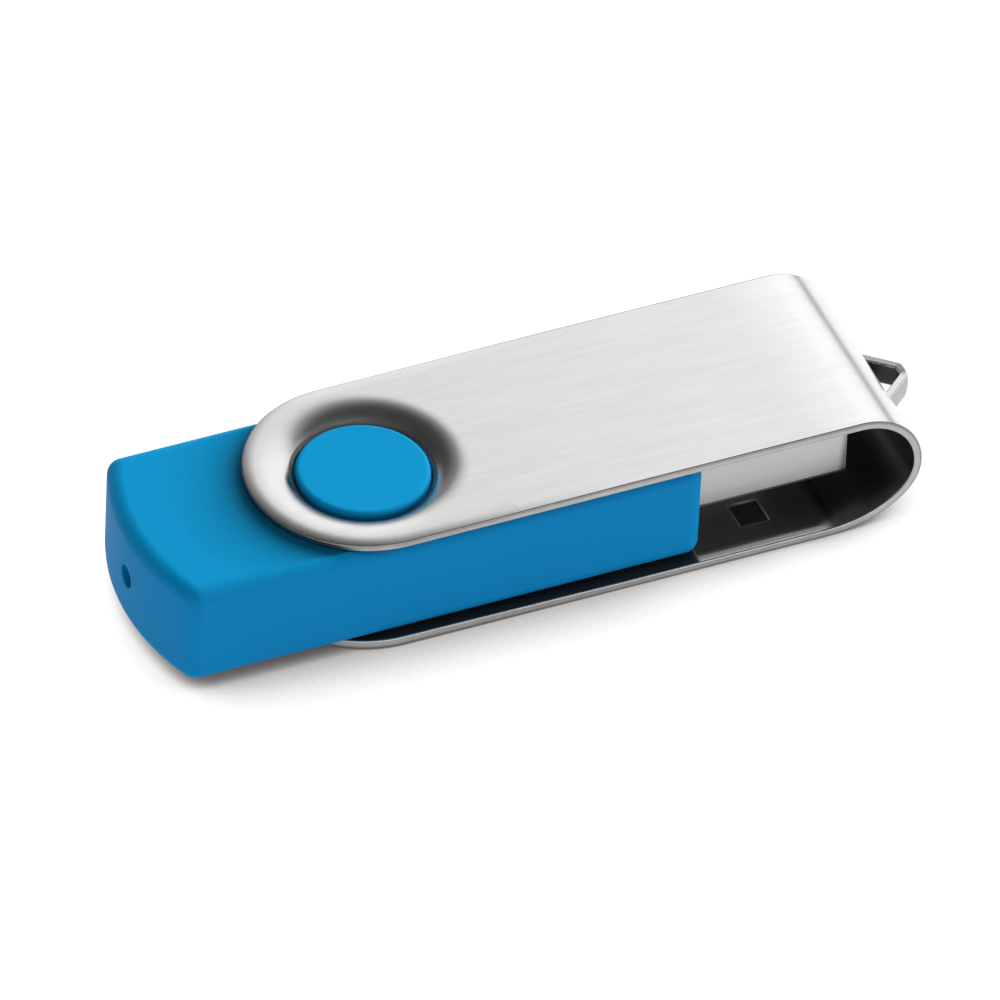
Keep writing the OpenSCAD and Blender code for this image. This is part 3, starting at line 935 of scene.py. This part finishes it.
def finish_nodes():
    tin = plain("tinned_metal", (0.72, 0.73, 0.74), 0.3, 1.0)
    gold = plain("gold_flash", (0.95, 0.7, 0.3), 0.22, 1.0)
    resin = plain("chip_resin", (0.025, 0.025, 0.028), 0.6)
    looks = {
        "plug_tongue": plain("tongue_plastic", (0.018, 0.018, 0.02), 0.42),
        "circuit_board": plain("board_laminate", (0.01, 0.16, 0.06), 0.3, grain=1500.0, shade=0.3),
        "crystal_can": plain("nickel_can", (0.7, 0.69, 0.66), 0.25, 1.0),
        "capacitors": plain("capacitor_ceramic", (0.5, 0.34, 0.2), 0.45),
        "activity_led": plain("led_resin", (0.9, 0.86, 0.62), 0.2),
        "light_guide": plain("clear_plastic", (0.8, 0.88, 0.95), 0.12, transmission=0.9),
    }
    for name, node in frame["nodes"].items():
        if name in ("housing", "front_collar", "plug_shell", "swivel_cover"):
            continue
        if name.startswith("contact_") and name != "contact_solder" or name == "crystal_terminals":
            look = gold
        elif name.endswith(("leads", "terminals", "solder")):
            look = tin
        else:
            look = looks.get(name, resin)
        node.data.materials.clear()
        node.data.materials.append(look)
        weld = node.modifiers.new("weld", "WELD")
        weld.merge_threshold = 0.000002
        bevel = node.modifiers.new("bevel", "BEVEL")
        bevel.width = 0.00003
        bevel.segments = 2
        bevel.limit_method = "ANGLE"
        bevel.angle_limit = math.radians(40)


# ---- studio ----


def glowing(name, strength):
    """A material that only gives off light, with its nodes, links and light node."""
    material, nodes, links, shader = new_material(name)
    nodes.remove(shader)
    glow = nodes.new("ShaderNodeEmission")
    glow.inputs["Strength"].default_value = strength
    links.new(glow.outputs[0], nodes["Material Output"].inputs["Surface"])
    return material, nodes, links, glow


def make_floor():
    """White disc, greyed where the drive stands close over it. The shade falls towards the near side."""
    material, nodes, links, glow = glowing("pale_floor", 1.15)
    near = occlusion(nodes, links, (0.04, 0.42, 0.9), 11 * MM, 16)
    greys = [(place, (shade, shade * 0.98, shade * 0.97))
             for place, shade in ((0.24, 0.18), (0.38, 0.5), (0.52, 0.8))]
    stops = [(0.0, (0.02, 0.018, 0.016)), *greys, (0.76, (1, 1, 1))]
    links.new(ramped(nodes, links, near, stops), glow.inputs["Color"])
    reach, count = 2.0, 64
    mesh = bpy.data.meshes.new("floor")
    rim = [(reach * math.cos(2 * math.pi * i / count), reach * math.sin(2 * math.pi * i / count), 0)
           for i in range(count)]
    mesh.from_pydata(rim, [], [tuple(range(count))])
    mesh.materials.append(material)
    floor = bpy.data.objects.new("floor", mesh)
    floor.location.z = -0.00002
    bpy.context.scene.collection.objects.link(floor)


def make_card(name, centre, width, height, turn, tilt, brightness):
    """A card that only shows in reflections."""
    material = glowing(name, brightness)[0]
    w, h = width / 2, height / 2
    mesh = bpy.data.meshes.new(name)
    mesh.from_pydata([(-w, -h, 0), (w, -h, 0), (w, h, 0), (-w, h, 0)], [], [(0, 1, 2, 3)])
    mesh.materials.append(material)
    card = bpy.data.objects.new(name, mesh)
    card.location = centre
    card.rotation_euler = (math.radians(90 + tilt), 0, math.radians(turn))
    bpy.context.scene.collection.objects.link(card)
    card.visible_camera = card.visible_diffuse = card.visible_shadow = False
    card.visible_transmission = False


def make_light(name, place, size, power, colour):
    """Round soft light aimed at the drive. It doesn't show in reflections."""
    light = bpy.data.lights.new(name, "AREA")
    light.shape = "DISK"
    light.size = size
    light.energy = power
    light.color = colour
    lamp = bpy.data.objects.new(name, light)
    lamp.location = place
    lamp.rotation_euler = Vector(place).to_track_quat("Z", "Y").to_euler()
    lamp.visible_glossy = False
    bpy.context.scene.collection.objects.link(lamp)


def make_world():
    """A broad white light behind on the right, dark overhead, paler all round low down, and a grey line along
    the horizon."""
    world = bpy.data.worlds.new("studio")
    world.use_nodes = True
    bpy.context.scene.world = world
    nodes, links = world.node_tree.nodes, world.node_tree.links
    coordinates = nodes.new("ShaderNodeTexCoord")
    azimuth, elevation = math.radians(45), math.radians(22)
    level = math.cos(elevation)
    light = (math.sin(azimuth) * level, math.cos(azimuth) * level, math.sin(elevation))
    ways = []
    for way in (light, (0, 0.3, 1), (0, 0, 1)):
        along = nodes.new("ShaderNodeVectorMath")
        along.operation = "DOT_PRODUCT"
        along.inputs[1].default_value = way
        links.new(coordinates.outputs["Generated"], along.inputs[0])
        ways.append(along.outputs["Value"])
    towards_light, upwards, height = ways
    stops = ((0.3, 0.03), (0.6, 0.05), (0.78, 0.225), (0.9, 0.895), (0.96, 1.0))
    broad = ramped(nodes, links, towards_light, [(place, (shade,) * 3) for place, shade in stops])
    low = mapped(nodes, links, upwards, 0.5, 0.0, 0.45, 0.58)
    from_line = worked_out(nodes, links, "ABSOLUTE", worked_out(nodes, links, "SUBTRACT", height, 0.055))
    strength = mapped(nodes, links, from_line, 0.06, 1.22, 0.048, 0.088)
    background = nodes["Background"].inputs
    links.new(worked_out(nodes, links, "MAXIMUM", broad, low), background["Color"])
    links.new(strength, background["Strength"])


def make_camera():
    """Long lens from above the near left, where the drive's rear end and near side show."""
    azimuth, elevation, roll = (math.radians(a) for a in (-24.84, 41.65, 2.81))
    distance, lens = 1.3459, 653.9
    aim = Vector((10.35, -1.95, 0.0))  # millimetres from the swivel axis
    back = Vector((math.sin(azimuth) * math.cos(elevation), -math.cos(azimuth) * math.cos(elevation),
                   math.sin(elevation)))
    right = Vector((0, 0, 1)).cross(back).normalized()
    up = back.cross(right)
    turned = Matrix((right * math.cos(roll) + up * math.sin(roll),
                     up * math.cos(roll) - right * math.sin(roll), back)).transposed()
    camera = bpy.data.objects.new("camera", bpy.data.cameras.new("camera"))
    camera.data.lens = lens
    camera.data.clip_start, camera.data.clip_end = 0.1, 20
    camera.matrix_world = Matrix.Translation((aim + PIVOT) * MM + back * distance) @ turned.to_4x4()
    bpy.context.scene.collection.objects.link(camera)
    bpy.context.scene.camera = camera


make_camera()
make_world()
make_floor()
make_light("key", (0.3675, 0.2297, 0.3386), 0.4, 4.9, (1.0, 0.86, 0.68))
make_light("overhead", (-0.08, -0.14, 0.78), 0.5, 2.3, (1.0, 0.86, 0.68))
make_light("right_fill", (0.53, -0.1, 0.12), 0.2, 1.6, (1.0, 1.0, 1.0))
make_card("front_strip", (0.15, -0.5, 0.27), 0.9, 0.26, 0, -28, 2.6)
bpy.context.scene.view_settings.view_transform = "Standard"
bpy.context.scene.cycles.use_denoising = True
bpy.context.scene.cycles.max_bounces = 10

# The outside's colour is painted darker towards the swivel: painted shade.
brushed = brushed_steel("brushed_outside", (0.85, 0.85, 0.85), 0.2, 0.03, 0.05, along=0.9, swivel_shade=0.1)
torn = brushed_steel("torn_edge", (0.3, 0.295, 0.285), 0.45, 0.06, 0.12, (60, 300, 60))
sheared = brushed_steel("sheared_edge", (0.43, 0.425, 0.415), 0.35, 0.06, 0.12, (60, 300, 60))
# The cover's inside: mirror steel, painted dark where it is rough and next to the housing: painted shade.
polished = polished_steel("polished_inside_painted_shade", (0.45, 0.445, 0.44), (0.1, 0.098, 0.096))
plug_steel = brushed_steel("plug_steel", (0.5, 0.5, 0.505), 0.34, 0.05, 0.05, (10, 600, 600))
# The shell's cut edges: a whiter, partly unmetallic copy of the plug steel, a painted highlight.
plug_rim_painted_highlight = brushed_steel("plug_rim_painted_highlight", (0.95, 0.95, 0.95), 0.35, 0.05, 0.05, (60, 300, 60))
plug_rim_painted_highlight.node_tree.nodes["Principled BSDF"].inputs["Metallic"].default_value = 0.6
# The housing's blue, with the cover's shadow painted on its flat faces.
blue = soft_touch("soft_touch_blue", (0.002, 0.215, 0.51))

make_cover(brushed, torn, sheared, polished)
make_housing(blue)
make_collar(blue)
make_plug_shell(plug_steel, plug_rim_painted_highlight)
finish_nodes()
